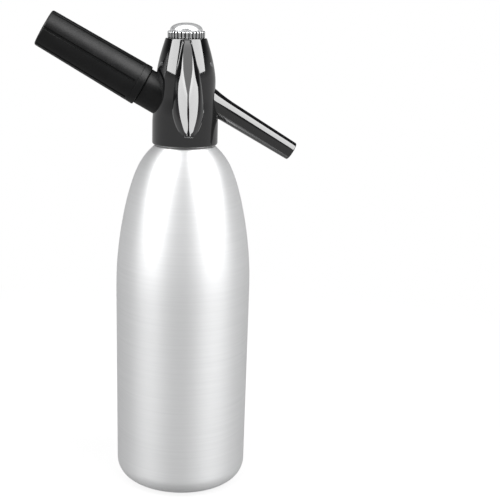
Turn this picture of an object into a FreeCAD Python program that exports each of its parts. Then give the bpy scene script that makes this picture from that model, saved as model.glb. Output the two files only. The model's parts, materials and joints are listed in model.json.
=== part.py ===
import FreeCAD, Part
import math
import os

from FreeCAD import Placement, Rotation, Vector

# A one-litre soda siphon. Lengths are millimetres and angles are degrees.
# The origin is the middle of the bottle's foot, +Z is up, +X is the side of the spout,
# -X is the side of the charger holder and -Y is the side of the lever.

# Clearances
running_gap = 0.05
seat_gap = 0.05
trim_gap = 0.6
match_tolerance = 0.01

# Shares of the pitch that a thread's ridge takes, to each side of its middle
thread_root_share = 0.28
thread_crest_share = 0.12

# Bottle
base_radius = 44.1
body_radius = 44.9
base_fillet = 12.5
foot_width = 4.0
dish_height = 4.0
bottle_wall = 1.5
shoulder_start = 144.0
shoulder_rise = 85.0
shoulder_fullness = 1.5
shoulder_samples = 9
shoulder_start_pull = (0, 40)
shoulder_end_pull = (-20, 2)
slope_angle = 0.01
neck_radius = 18.4
neck_fillet = 1.5
neck_collar_height = 4.8
neck_height = 18.0
neck_bore_radius = 14.6
neck_root_radius = 17.0
neck_thread_depth = 0.6
neck_thread_pitch = 3.0
neck_thread_turns = 3.5

# Measuring tube, riser and the seals above the bottle's mouth
measure_flange_radius = 16.4
measure_flange_thickness = 1.2
measure_tube_radius = 12.5
measure_tube_wall = 1.0
measure_tube_length = 62.0
riser_gasket_radius = 16.2
riser_gasket_bore = 12.0
riser_gasket_thickness = 2.0
riser_collar_radius = 15.8
riser_collar_thickness = 2.4
riser_nose_radius = 3.6
riser_nose_height = 5.0
riser_nose_bore = 2.4
riser_spigot_radius = 6.0
riser_spigot_length = 18.0
riser_tube_radius = 4.0
riser_tube_wall = 1.1
riser_socket_depth = 12.0
riser_floor_gap = 4.0
riser_notch_height = 4.0
gas_hole_radius = 1.2
gas_hole_circle = 9.0
gas_hole_count = 4
nose_seal_width = 1.5
head_seal_radius = 15.4
head_seal_bore = 12.0
head_seal_thickness = 1.1

# Head shell, measured up from its lower edge
head_overlap = 15.0
head_above_pivot = 16.0
head_skirt_radius = 21.4
head_skirt_height = 17.0
head_waist_radius = 19.2
head_waist_height = 35.0
head_bulge_radius = 19.4
head_bulge_height = 42.0
head_crown_radius = 16.1
head_crown_above_pivot = 7.0
head_top_radius = 13.3
head_edge_radius = 1.6
head_wall = 2.2
head_start_pull = (0, 30)
head_end_pull = (-6, 12)
head_cavity_top_radius = 11.5

# Metal core in the head
core_skirt_wall = 1.45
core_roof_thickness = 3.6
core_shoulder_wall = 1.3
core_tower_radius = 11.0
core_tower_top = 40.5
valve_seat_height = 30.0
valve_seat_bore = 2.6
valve_chamber_radius = 5.2
valve_chamber_top = 38.5
gland_radius = 7.0
gland_height = 3.0
gland_pocket_radius = 3.4
stem_seal_thickness = 1.75
gland_nut_radius = 5.2
gland_nut_thickness = 1.4

# Lever, in the plane X = 0 from its pin, with Y outwards negative and Z up
pivot_offset = 7.5
pivot_height = 52.0
pin_radius = 1.5
hub_radius = 3.9
stem_width = 8.4
slot_side_gap = 0.4
slot_below_pivot = 6.0
slot_above_pivot = 7.6
lever_travel = 18.0
lever_outer_edge = [(-8.6, 15.4), (-19.2, 7.2), (-31.5, -6.3), (-42.2, -21.6), (-50.0, -35.7)]
lever_tip = [(-51.1, -39.1), (-50.0, -40.2)]
lever_inner_edge = [(-37.5, -35.2), (-33.6, -25.8), (-27.7, -13.5), (-20.0, -2.5), (-14.9, -0.3)]
lever_half_widths = [(15.4, 3.3), (3.0, 7.1), (-10.0, 8.6), (-27.0, 10.1), (-33.0, 9.4)]
lever_tip_half_width = 1.6
lever_edge_radius = 1.6
lever_root_inset = 2.4
lever_stem_rise = 2.8

# Fork on the lever's inner end
fork_thickness = 1.6
fork_reach = 10.3
fork_width = 7.8
tongue_width = 6.0
tongue_depth = 1.9
fork_slot_gap = 0.2

# Valve
stem_radius = 1.5
stem_top_gap = 0.7
lift_flange_radius = 3.3
lift_flange_thickness = 1.2
lift_gap = 0.1
valve_disc_radius = 4.2
valve_disc_thickness = 1.2
valve_seal_thickness = 1.4
spring_radius = 2.5
spring_wire_radius = 0.4
spring_turns = 5.0

# Valve guide and screw cap
cap_bore_radius = 8.6
ledge_above_pivot = 7.0
ledge_thickness = 2.0
ledge_bore_radius = 6.5
guide_flange_thickness = 1.2
guide_below_ledge = 0.5
guide_inner_radius = 3.8
guide_upper_radius = 6.0
guide_top_wall = 1.4
guide_top_inset = 0.1
cap_plug_wall = 2.2
cap_ring_radius = 12.0
cap_ring_height = 4.4
cap_flute_count = 30
cap_flute_radius = 0.55
cap_seal_radius = 10.9
cap_seal_thickness = 0.7
dome_radius = 10.5
dome_height = 5.2
dome_rim_height = 2.2
dome_edge_radius = 1.4
dome_spigot_radius = 7.1
dome_spigot_length = 1.5

# Spout, measured along its axis from the head's axis
spout_axis_height = 37.7
spout_fall = 30.9
spout_length = 82.0
spout_root_radius = 7.4
spout_tip_radius = 6.1
spout_flare_radius = 9.6
spout_flare_end = 27.0
spout_root_start = 15.0
spout_lip_radius = 0.7
liner_radius = 4.55
liner_bore = 3.2
liner_recess = 0.8
liner_socket_start = 10.4
spout_seal_thickness = 1.05
spout_port_radius = 3.5
spout_arm_radius = 5.8
spout_arm_end = 15.2

# Charger holder, measured along its axis from the head's axis
holder_axis_height = 21.6
holder_rise = 29.9
holder_socket_start = 10.5
holder_arm_radius = 6.0
holder_arm_end = 17.2
union_spigot_radius = 4.5
union_seal_radius = 5.3
union_seal_thickness = 1.0
union_waist_radius = 7.0
union_waist_length = 3.2
union_radius = 10.6
boss_radius = 12.2
boss_end = 32.0
boss_bore_start = 14.0
holder_thread_root = 9.4
holder_thread_depth = 0.5
holder_thread_pitch = 1.5
holder_thread_turns = 5.0
holder_thread_length = 10.5
charger_pocket_radius = 4.7
charger_seat = 35.3
charger_seal_thickness = 1.15
pin_base_radius = 2.0
pin_base_length = 4.2
piercing_pin_radius = 0.6
piercing_pin_reach = 1.5
filter_thickness = 1.9
gas_bore = 0.9
sleeve_gap = 0.5
sleeve_length = 72.4
sleeve_near_radius = 13.6
sleeve_far_radius = 12.4
sleeve_end_wall = 1.4
sleeve_edge_radius = 1.0
sleeve_groove_count = 6
sleeve_groove_width = 1.3
sleeve_groove_depth = 0.8
sleeve_groove_start = 6.0
sleeve_groove_turn = 94.0
cup_wall = 1.6
cup_end_wall = 1.3
cup_near_inset = 0.4

# Gas charger
charger_radius = 9.0
charger_gap = 0.3
charger_length = 65.5
charger_neck_radius = 4.4
charger_neck_length = 7.5
charger_shoulder_length = 7.0
charger_shoulder_pull = (0, 9)
charger_hole_radius = 0.8
charger_hole_depth = 2.6
nrv_offset = 8.0
nrv_radius = 2.0
nrv_height = 2.0

# Heights that follow from the sizes above
shoulder_top = shoulder_start + shoulder_rise
neck_collar_top = shoulder_top + neck_collar_height
neck_top = shoulder_top + neck_height
measure_flange_base = neck_top + seat_gap
riser_gasket_base = measure_flange_base + measure_flange_thickness + seat_gap
riser_collar_base = riser_gasket_base + riser_gasket_thickness + seat_gap
head_seal_base = riser_collar_base + riser_collar_thickness + seat_gap
roof_base = head_seal_base + head_seal_thickness + seat_gap
roof_top = roof_base + core_roof_thickness
nose_top = riser_collar_base + riser_collar_thickness + riser_nose_height
head_bottom = neck_top - head_overlap
head_height = pivot_height + head_above_pivot
head_crown_height = pivot_height + head_crown_above_pivot
head_top = head_bottom + head_height
seat_z = head_bottom + valve_seat_height
chamber_top_z = head_bottom + valve_chamber_top
tower_top_z = head_bottom + core_tower_top
gland_top_z = tower_top_z + gland_height
pivot = Vector(0, -pivot_offset, head_bottom + pivot_height)
ledge_z = pivot.z + ledge_above_pivot
cap_seat_z = ledge_z + ledge_thickness
guide_roof_z = head_top + guide_top_inset - guide_top_wall
flange_base_z = pivot.z + fork_thickness / 2 + lift_gap
flange_top_z = flange_base_z + lift_flange_thickness
neck_crest_radius = neck_root_radius + neck_thread_depth
core_bore_radius = neck_crest_radius + running_gap
core_skirt_radius = core_bore_radius + core_skirt_wall
core_upper_bore = measure_flange_radius + 4 * running_gap
core_upper_radius = core_upper_bore + core_shoulder_wall
nose_bore_radius = riser_nose_radius + trim_gap
spring_length = guide_roof_z - flange_top_z
union_face = holder_arm_end + union_seal_thickness + 2 * seat_gap
sleeve_start = boss_end + sleeve_gap
sleeve_end = sleeve_start + sleeve_length
charger_start = charger_seat + charger_seal_thickness + seat_gap
holder_crest_radius = holder_thread_root + holder_thread_depth
cup_bore_radius = charger_radius + charger_gap
cup_radius = cup_bore_radius + cup_wall
cup_end = sleeve_end - sleeve_end_wall - seat_gap


# Helpers

def lathe(outline):
    """Turns a closed outline of (radius, height) points, or of edges, about the Z axis."""
    if isinstance(outline[0], tuple):
        corners = [Vector(radius, 0, height) for radius, height in outline]
        wire = Part.makePolygon(corners + [corners[0]])
    else:
        wire = Part.Wire(outline)
    return Part.Face(wire).revolve(Vector(0, 0, 0), Vector(0, 0, 1), 360)


def rod(radius, bottom, top):
    return Part.makeCylinder(radius, top - bottom, Vector(0, 0, bottom))


def tube(outer_radius, inner_radius, bottom, top):
    return rod(outer_radius, bottom, top).cut(rod(inner_radius, bottom, top))


def cone(bottom_radius, top_radius, bottom, top):
    return Part.makeCone(bottom_radius, top_radius, top - bottom, Vector(0, 0, bottom))


def block(x_range, y_range, z_range):
    corner = Vector(x_range[0], y_range[0], z_range[0])
    return Part.makeBox(
        x_range[1] - x_range[0], y_range[1] - y_range[0], z_range[1] - z_range[0], corner
    )


def line(start, end):
    return Part.makeLine(Vector(start[0], 0, start[1]), Vector(end[0], 0, end[1]))


def arc(start, middle, end):
    points = [Vector(radius, 0, height) for radius, height in (start, middle, end)]
    return Part.Arc(*points).toShape()


def quarter_arc(start, end, centre):
    """A quarter circle between two points about a centre, all as (radius, height)."""
    radius = math.hypot(start[0] - centre[0], start[1] - centre[1])
    half = (start[0] + end[0]) / 2 - centre[0], (start[1] + end[1]) / 2 - centre[1]
    scale = radius / math.hypot(*half)
    return arc(start, (centre[0] + half[0] * scale, centre[1] + half[1] * scale), end)


def smooth(points, start_slope=None, end_slope=None):
    """A smooth curve through (radius, height) points, with the end directions if they are given."""
    curve = Part.BSplineCurve()
    vectors = [Vector(radius, 0, height) for radius, height in points]
    if start_slope is None:
        curve.interpolate(vectors)
    else:
        first = Vector(start_slope[0], 0, start_slope[1])
        last = Vector(end_slope[0], 0, end_slope[1])
        curve.interpolate(vectors, InitialTangent=first, FinalTangent=last)
    return curve.toShape()


def cap_arc(rim_radius, base, rise):
    """An arc from the Z axis down to a rim, as a slice of a ball that sits on the axis."""
    ball = (rim_radius ** 2 + rise ** 2) / (2 * rise)
    half_angle = math.asin(rim_radius / ball) / 2
    middle = (ball * math.sin(half_angle), base + rise - ball * (1 - math.cos(half_angle)))
    return arc((0, base + rise), middle, (rim_radius, base))


def single(shape):
    """The one solid that a cut or a fuse leaves."""
    return max(shape.Solids, key=lambda solid: solid.Volume)


def thread_ridge(root_radius, depth, pitch, turns, bottom):
    """A trapezoid ridge wound round a cylinder about the Z axis."""
    root_half = pitch * thread_root_share
    crest_half = pitch * thread_crest_share
    inside = root_radius - depth / 2
    corners = [
        Vector(inside, 0, -root_half),
        Vector(root_radius + depth, 0, -crest_half),
        Vector(root_radius + depth, 0, crest_half),
        Vector(inside, 0, root_half),
    ]
    spine = Part.Wire(Part.makeHelix(pitch, pitch * turns, root_radius).Edges)
    sweep = Part.BRepOffsetAPI.MakePipeShell(spine)
    sweep.setFrenetMode(True)
    sweep.add(Part.makePolygon(corners + [corners[0]]))
    sweep.build()
    sweep.makeSolid()
    ridge = sweep.shape()
    ridge.translate(Vector(0, 0, bottom + root_half))
    return ridge


def axis_placement(height, direction):
    return Placement(Vector(0, 0, height), Rotation(Vector(0, 0, 1), direction))


holder_direction = Vector(
    -math.cos(math.radians(holder_rise)), 0, math.sin(math.radians(holder_rise))
)
spout_direction = Vector(math.cos(math.radians(spout_fall)), 0, -math.sin(math.radians(spout_fall)))
holder_place = axis_placement(head_bottom + holder_axis_height, holder_direction)
spout_place = axis_placement(head_bottom + spout_axis_height, spout_direction)


def on_holder_axis(shape):
    placed = shape.copy()
    placed.Placement = holder_place.multiply(placed.Placement)
    return placed


def on_spout_axis(shape):
    placed = shape.copy()
    placed.Placement = spout_place.multiply(placed.Placement)
    return placed


# Bottle

def shoulder_points(inset):
    """The shoulder as a superellipse, moved inwards by the inset along its normal."""
    width = body_radius - neck_radius
    last_angle = math.acos(neck_fillet / width)

    def place(angle):
        radius = neck_radius + width * math.cos(angle)
        height = shoulder_start + shoulder_rise * math.sin(angle) ** (2 / shoulder_fullness)
        return radius, height

    points = []
    for step in range(shoulder_samples + 1):
        angle = last_angle * step / shoulder_samples
        before = place(max(angle - slope_angle, 0.0))
        after = place(angle + slope_angle)
        slope = Vector(after[0] - before[0], 0, after[1] - before[1]).normalize()
        if step == 0:
            slope = Vector(0, 0, 1)
        radius, height = place(angle)
        points.append((radius - inset * slope.z, height + inset * slope.x))
    return points


def make_bottle():
    foot_outer = base_radius - base_fillet
    foot_inner = foot_outer - foot_width
    outer = shoulder_points(0.0)
    inner = shoulder_points(bottle_wall)
    neck_foot = (neck_radius, outer[-1][1] + neck_fillet)
    inner_top = (neck_bore_radius, inner[-1][1] + bottle_wall)
    floor_radius = base_fillet - bottle_wall
    wall_base = (base_radius - bottle_wall, base_fillet)
    floor_edge = (foot_outer, bottle_wall)
    outline = [
        cap_arc(foot_inner, 0, dish_height),
        line((foot_inner, 0), (foot_outer, 0)),
        quarter_arc((foot_outer, 0), (base_radius, base_fillet), (foot_outer, base_fillet)),
        line((base_radius, base_fillet), outer[0]),
        smooth(outer, shoulder_start_pull, shoulder_end_pull),
        quarter_arc(outer[-1], neck_foot, (outer[-1][0], neck_foot[1])),
        line(neck_foot, (neck_radius, neck_collar_top)),
        line((neck_radius, neck_collar_top), (neck_root_radius, neck_collar_top)),
        line((neck_root_radius, neck_collar_top), (neck_root_radius, neck_top)),
        line((neck_root_radius, neck_top), (neck_bore_radius, neck_top)),
        line((neck_bore_radius, neck_top), inner_top),
        line(inner_top, inner[-1]),
        smooth(inner, shoulder_start_pull, shoulder_end_pull),
        line(inner[0], wall_base),
        quarter_arc(wall_base, floor_edge, (floor_edge[0], floor_edge[1] + floor_radius)),
        line(floor_edge, (foot_inner, bottle_wall)),
        cap_arc(foot_inner, bottle_wall, dish_height),
        line((0, dish_height + bottle_wall), (0, dish_height)),
    ]
    body = lathe(Part.__sortEdges__(outline))
    ridge = thread_ridge(
        neck_root_radius,
        neck_thread_depth,
        neck_thread_pitch,
        neck_thread_turns,
        neck_collar_top + seat_gap,
    )
    return single(body.fuse(ridge))


# Pieces in the bottle's mouth

def make_measuring_tube():
    flange_top = measure_flange_base + measure_flange_thickness
    inner_radius = measure_tube_radius - measure_tube_wall
    flange = rod(measure_flange_radius, measure_flange_base, flange_top)
    barrel = rod(measure_tube_radius, neck_top - measure_tube_length, flange_top)
    return single(flange.fuse(barrel).cut(rod(inner_radius, 0, flange_top)))


def make_riser_gasket():
    top = riser_gasket_base + riser_gasket_thickness
    return tube(riser_gasket_radius, riser_gasket_bore, riser_gasket_base, top)


def make_riser_collar():
    collar_top = riser_collar_base + riser_collar_thickness
    spigot_bottom = riser_collar_base - riser_spigot_length
    socket_radius = riser_tube_radius + running_gap
    collar = rod(riser_collar_radius, riser_collar_base, collar_top)
    collar = collar.fuse(rod(riser_spigot_radius, spigot_bottom, collar_top))
    collar = collar.fuse(rod(riser_nose_radius, riser_collar_base, nose_top))
    collar = collar.cut(rod(riser_nose_bore, spigot_bottom, nose_top))
    collar = collar.cut(rod(socket_radius, spigot_bottom, spigot_bottom + riser_socket_depth))
    for index in range(gas_hole_count):
        angle = 2 * math.pi * index / gas_hole_count
        centre = Vector(gas_hole_circle, 0, riser_collar_base)
        hole = Part.makeCylinder(gas_hole_radius, riser_collar_thickness, centre)
        hole.rotate(Vector(0, 0, 0), Vector(0, 0, 1), math.degrees(angle))
        collar = collar.cut(hole)
    return single(collar)


def make_riser_tube():
    bottom = dish_height + bottle_wall + riser_floor_gap
    top = riser_collar_base - riser_spigot_length + riser_socket_depth - seat_gap
    pipe = tube(riser_tube_radius, riser_tube_radius - riser_tube_wall, bottom, top)
    reach = 2 * riser_tube_radius
    notch = block(
        (-reach, reach), (-riser_tube_wall, riser_tube_wall), (bottom, bottom + riser_notch_height)
    )
    return single(pipe.cut(notch))


def make_nose_seal():
    bottom = riser_collar_base + riser_collar_thickness + riser_nose_height / 2
    return tube(
        nose_bore_radius - running_gap,
        riser_nose_radius + running_gap,
        bottom,
        bottom + nose_seal_width,
    )


def make_head_seal():
    return tube(head_seal_radius, head_seal_bore, head_seal_base, head_seal_base + head_seal_thickness)


# Head

def head_side(outward):
    """The head's side as one curve, moved outwards."""
    stations = [
        (head_skirt_radius, head_skirt_height),
        (head_waist_radius, head_waist_height),
        (head_bulge_radius, head_bulge_height),
        (head_crown_radius, head_crown_height),
        (head_top_radius, head_height),
    ]
    points = [(radius + outward, head_bottom + height) for radius, height in stations]
    return smooth(points, head_start_pull, head_end_pull), points


def head_solid(outward=0.0):
    """The head's outside as a full solid."""
    curve, points = head_side(outward)
    edge = head_edge_radius
    bottom = head_bottom
    skirt = head_skirt_radius + outward
    outline = [
        line((0, bottom), (skirt - edge, bottom)),
        quarter_arc((skirt - edge, bottom), (skirt, bottom + edge), (skirt - edge, bottom + edge)),
        line((skirt, bottom + edge), points[0]),
        curve,
        line(points[-1], (0, head_top)),
        line((0, head_top), (0, bottom)),
    ]
    return lathe(Part.__sortEdges__(outline))


def make_head_shell():
    shell = head_solid().fuse(on_holder_axis(rod(boss_radius, boss_bore_start, boss_end)))
    skirt_bore = head_skirt_radius - head_wall
    waist_bore = head_waist_radius - head_wall
    cavity = lathe([
        (0, head_bottom),
        (skirt_bore, head_bottom),
        (skirt_bore, head_bottom + head_skirt_height + head_wall),
        (waist_bore, head_bottom + head_waist_height - head_wall),
        (waist_bore, head_bottom + head_bulge_height + head_wall),
        (head_cavity_top_radius, ledge_z),
        (0, ledge_z),
    ])
    shell = shell.cut(cavity)
    shell = shell.cut(rod(ledge_bore_radius, ledge_z - ledge_thickness / 2, head_top))
    shell = shell.cut(rod(cap_bore_radius, cap_seat_z, head_top))
    seal_pocket = cap_seal_radius + 2 * running_gap
    shell = shell.cut(rod(seal_pocket, head_top - cap_seal_thickness, head_top))
    union_bore = rod(union_radius + running_gap, boss_bore_start, boss_end)
    shell = shell.cut(on_holder_axis(union_bore))
    liner_hole = rod(liner_radius + running_gap, liner_socket_start, spout_length)
    shell = shell.cut(on_spout_axis(liner_hole))
    half_slot = stem_width / 2 + slot_side_gap
    lever_slot = block(
        (-half_slot, half_slot),
        (-head_skirt_radius, -pivot_offset),
        (pivot.z - slot_below_pivot, pivot.z + slot_above_pivot),
    )
    shell = shell.cut(lever_slot)
    return single(shell.cut(pin_rod(pin_radius + running_gap)))


def pin_rod(radius):
    """A rod on the lever's pivot axis, right across the head."""
    start = pivot - Vector(head_skirt_radius, 0, 0)
    return Part.makeCylinder(radius, 2 * head_skirt_radius, start, Vector(1, 0, 0))


def make_lever_pin():
    return single(pin_rod(pin_radius).common(head_solid()))


def make_head_core():
    skirt_bottom = neck_collar_top + trim_gap
    core = rod(core_skirt_radius, skirt_bottom, neck_top + trim_gap)
    core = core.fuse(rod(core_upper_radius, neck_top, roof_top))
    core = core.fuse(rod(core_tower_radius, roof_base, tower_top_z))
    core = core.fuse(rod(gland_radius, roof_base, gland_top_z))
    core = core.fuse(on_holder_axis(rod(holder_arm_radius, core_tower_radius / 2, holder_arm_end)))
    core = core.fuse(on_spout_axis(rod(spout_arm_radius, core_tower_radius / 2, spout_arm_end)))
    core = core.cut(rod(core_bore_radius, 0, neck_top + running_gap))
    core = core.cut(rod(core_upper_bore, 0, roof_base))
    core = core.cut(rod(nose_bore_radius, 0, nose_top + trim_gap))
    core = core.cut(rod(valve_seat_bore, 0, seat_z))
    core = core.cut(rod(valve_chamber_radius, seat_z, chamber_top_z))
    core = core.cut(rod(stem_radius + running_gap, seat_z, gland_top_z))
    core = core.cut(rod(gland_pocket_radius, tower_top_z - seat_gap, gland_top_z))
    port = rod(spout_port_radius, valve_chamber_radius / 2, liner_socket_start)
    core = core.cut(on_spout_axis(port))
    liner_socket = rod(liner_radius + running_gap, liner_socket_start, spout_flare_end)
    core = core.cut(on_spout_axis(liner_socket))
    union_socket = rod(union_spigot_radius + running_gap, holder_socket_start, holder_arm_end)
    core = core.cut(on_holder_axis(union_socket))
    pocket_top = roof_base + nrv_height + 2 * seat_gap
    pocket_centre = Vector(-nrv_offset, 0, roof_base)
    pocket = Part.makeCylinder(nrv_radius + running_gap, pocket_top - roof_base, pocket_centre)
    passage_length = seat_z - pocket_top
    passage = Part.makeCylinder(gas_bore, passage_length, Vector(-nrv_offset, 0, pocket_top))
    return single(core.cut(pocket).cut(passage))


def make_non_return_valve():
    centre = Vector(-nrv_offset, 0, roof_base + seat_gap)
    disc = Part.makeCylinder(nrv_radius, nrv_height, centre)
    return single(disc.cut(Part.makeCylinder(gas_bore / 2, nrv_height, centre)))


def make_stem_seal():
    bottom = tower_top_z
    inner = stem_radius + running_gap
    return tube(gland_pocket_radius - running_gap, inner, bottom, bottom + stem_seal_thickness)


def make_gland_nut():
    bottom = tower_top_z + stem_seal_thickness + seat_gap
    head_base = gland_top_z + seat_gap
    top = head_base + gland_nut_thickness
    nut = rod(gland_pocket_radius - running_gap, bottom, top)
    corners = []
    for index in range(7):
        angle = math.radians(60 * index)
        corners.append(Vector(gland_nut_radius * math.cos(angle), gland_nut_radius * math.sin(angle), 0))
    hexagon = Part.Face(Part.makePolygon(corners)).extrude(Vector(0, 0, gland_nut_thickness))
    hexagon.translate(Vector(0, 0, head_base))
    return single(nut.fuse(hexagon).cut(rod(stem_radius + 2 * running_gap, bottom, top)))


# Lever

def side_point(point):
    return Vector(0, pivot.y + point[0], pivot.z + point[1])


def side_curve(points):
    curve = Part.BSplineCurve()
    curve.interpolate([side_point(point) for point in points])
    return curve.toShape()


def lever_side():
    """The arm's outline seen from the side, as a face in the plane X = 0."""
    inner = lever_inner_edge
    root_low = (-hub_radius - pivot_offset / 2, -hub_radius / 2)
    root_high = (lever_outer_edge[0][0] + lever_root_inset, lever_outer_edge[0][1])
    edges = [
        side_curve(lever_outer_edge),
        Part.makeLine(side_point(lever_outer_edge[-1]), side_point(lever_tip[0])),
        Part.makeLine(side_point(lever_tip[0]), side_point(lever_tip[1])),
        Part.makeLine(side_point(lever_tip[1]), side_point(inner[0])),
        side_curve(inner),
        Part.makeLine(side_point(inner[-1]), side_point(root_low)),
        Part.makeLine(side_point(root_low), side_point(root_high)),
        Part.makeLine(side_point(root_high), side_point(lever_outer_edge[0])),
    ]
    return Part.Face(Part.Wire(Part.__sortEdges__(edges)))


def lever_front():
    """The arm's outline seen from the front, as a face in a plane in front of the lever."""
    far = pivot.y + lever_tip[0][0] - lever_edge_radius
    tip_low = lever_tip[1][1] - lever_edge_radius
    tip_high = lever_half_widths[-1][0]

    def front_point(half_width, height):
        return Vector(half_width, far, pivot.z + height)

    sides = []
    for sign in (1, -1):
        curve = Part.BSplineCurve()
        curve.interpolate([front_point(sign * half, height) for height, half in lever_half_widths])
        sides.append(curve.toShape())
        wide = lever_half_widths[-1][1]
        sides.append(Part.makeLine(
            front_point(sign * wide, tip_high), front_point(sign * lever_tip_half_width, tip_low)
        ))
    top_height, top_half = lever_half_widths[0]
    sides.append(Part.makeLine(front_point(top_half, top_height), front_point(-top_half, top_height)))
    sides.append(Part.makeLine(
        front_point(lever_tip_half_width, tip_low), front_point(-lever_tip_half_width, tip_low)
    ))
    return Part.Face(Part.Wire(Part.__sortEdges__(sides)))


def make_lever():
    widest = max(half for height, half in lever_half_widths) + lever_edge_radius
    side = lever_side()
    side.translate(Vector(-widest, 0, 0))
    arm = side.extrude(Vector(2 * widest, 0, 0))
    reach = -lever_tip[0][0] + 2 * lever_edge_radius
    arm = arm.common(lever_front().extrude(Vector(0, reach, 0)))
    for swing in (0, lever_travel / 2, lever_travel):
        head_seen = head_solid(trim_gap)
        head_seen.rotate(pivot, Vector(1, 0, 0), -swing)
        arm = single(arm.cut(head_seen))
    half = stem_width / 2
    stem_profile = [
        (0.0, hub_radius),
        (lever_outer_edge[0][0], hub_radius + lever_stem_rise),
        (lever_inner_edge[-1][0], hub_radius + lever_stem_rise),
        lever_inner_edge[-1],
        (lever_outer_edge[0][0], -hub_radius / 2),
        (0.0, -hub_radius),
    ]
    corners = [side_point(point) - Vector(half, 0, 0) for point in stem_profile]
    stem = Part.Face(Part.makePolygon(corners + [corners[0]])).extrude(Vector(stem_width, 0, 0))
    hub_start = pivot - Vector(half, 0, 0)
    hub = Part.makeCylinder(hub_radius, stem_width, hub_start, Vector(1, 0, 0))
    lever = arm.fuse(stem).fuse(hub)
    lever = lever.cut(pin_rod(pin_radius + running_gap))
    half_tongue = tongue_width / 2 + running_gap
    half_plate = fork_thickness / 2 + running_gap
    tongue_pocket = block(
        (-half_tongue, half_tongue),
        (pivot.y + tongue_depth - running_gap, pivot.y + hub_radius),
        (pivot.z - half_plate, pivot.z + half_plate),
    )
    return single(lever.cut(tongue_pocket))


def make_lever_fork():
    low = pivot.z - fork_thickness / 2
    high = pivot.z + fork_thickness / 2
    plate_start = pivot.y + hub_radius + 2 * running_gap
    plate_end = pivot.y + fork_reach
    plate = block((-fork_width / 2, fork_width / 2), (plate_start, plate_end), (low, high))
    tongue = block(
        (-tongue_width / 2, tongue_width / 2), (pivot.y + tongue_depth, plate_start), (low, high)
    )
    slot = stem_radius + fork_slot_gap
    fork = plate.fuse(tongue)
    fork = fork.cut(block((-slot, slot), (0, plate_end), (low, high)))
    return single(fork.cut(rod(slot, low, high)))


# Valve

def make_valve_stem():
    top = guide_roof_z + stem_top_gap
    disc_base = seat_z + valve_seal_thickness + seat_gap
    stem = rod(stem_radius, seat_z + seat_gap, top)
    stem = stem.fuse(rod(valve_disc_radius, disc_base, disc_base + valve_disc_thickness))
    return single(stem.fuse(rod(lift_flange_radius, flange_base_z, flange_top_z)))


def make_valve_seal():
    bottom = seat_z + seat_gap
    top = seat_z + valve_seal_thickness
    return tube(valve_disc_radius, stem_radius + running_gap, bottom, top)


def make_valve_spring():
    height = spring_length - 2 * spring_wire_radius - 2 * seat_gap
    spine = Part.Wire(Part.makeHelix(height / spring_turns, height, spring_radius).Edges)
    section = Part.makeCircle(spring_wire_radius, Vector(spring_radius, 0, 0), Vector(0, 1, 0))
    sweep = Part.BRepOffsetAPI.MakePipeShell(spine)
    sweep.setFrenetMode(True)
    sweep.add(Part.Wire(section))
    sweep.build()
    sweep.makeSolid()
    spring = sweep.shape()
    spring.translate(Vector(0, 0, flange_top_z + spring_wire_radius + seat_gap))
    return single(spring)


# Guide and cap

def make_valve_guide():
    flange_base = cap_seat_z + seat_gap
    flange_top = flange_base + guide_flange_thickness
    lower_radius = ledge_bore_radius - 2 * running_gap
    top = guide_roof_z + guide_top_wall
    guide = rod(cap_bore_radius - 2 * running_gap, flange_base, flange_top)
    guide = guide.fuse(rod(lower_radius, ledge_z - guide_below_ledge, flange_top))
    guide = guide.fuse(rod(guide_upper_radius, flange_base, top))
    guide = guide.cut(rod(guide_inner_radius, ledge_z - guide_below_ledge, guide_roof_z))
    return single(guide.cut(rod(stem_radius + 2 * running_gap, guide_roof_z, top)))


def make_cap_ring():
    plug_radius = cap_bore_radius - running_gap
    plug_bottom = cap_seat_z + guide_flange_thickness + 2 * seat_gap
    ring_base = head_top + 2 * seat_gap
    ring_top = ring_base + cap_ring_height
    ring = rod(plug_radius, plug_bottom, ring_top)
    ring = ring.fuse(rod(cap_ring_radius, ring_base, ring_top))
    for index in range(cap_flute_count):
        angle = 2 * math.pi * index / cap_flute_count
        place = Vector(cap_ring_radius * math.cos(angle), cap_ring_radius * math.sin(angle), ring_base)
        ring = ring.cut(Part.makeCylinder(cap_flute_radius, cap_ring_height, place))
    ring = ring.cut(rod(plug_radius - cap_plug_wall, plug_bottom, ring_top))
    socket_base = ring_top - dome_spigot_length
    return single(ring.cut(rod(dome_spigot_radius + running_gap, socket_base, ring_top)))


def make_cap_dome():
    base = head_top + 2 * seat_gap + cap_ring_height + seat_gap
    rim = base + dome_rim_height
    outline = [
        line((0, base), (dome_radius, base)),
        line((dome_radius, base), (dome_radius, rim)),
        cap_arc(dome_radius, rim, dome_height - dome_rim_height),
        line((0, base + dome_height), (0, base)),
    ]
    dome = lathe(Part.__sortEdges__(outline))
    rims = [edge for edge in dome.Edges if edge.Closed and abs(edge.BoundBox.ZMin - rim) < match_tolerance]
    dome = dome.makeFillet(dome_edge_radius, rims)
    spigot = rod(dome_spigot_radius, base - dome_spigot_length + seat_gap, base + seat_gap)
    return single(dome.fuse(spigot))


def make_cap_seal():
    bottom = head_top - cap_seal_thickness + seat_gap
    return tube(cap_seal_radius, cap_bore_radius + running_gap, bottom, head_top + seat_gap)


# Spout

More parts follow.
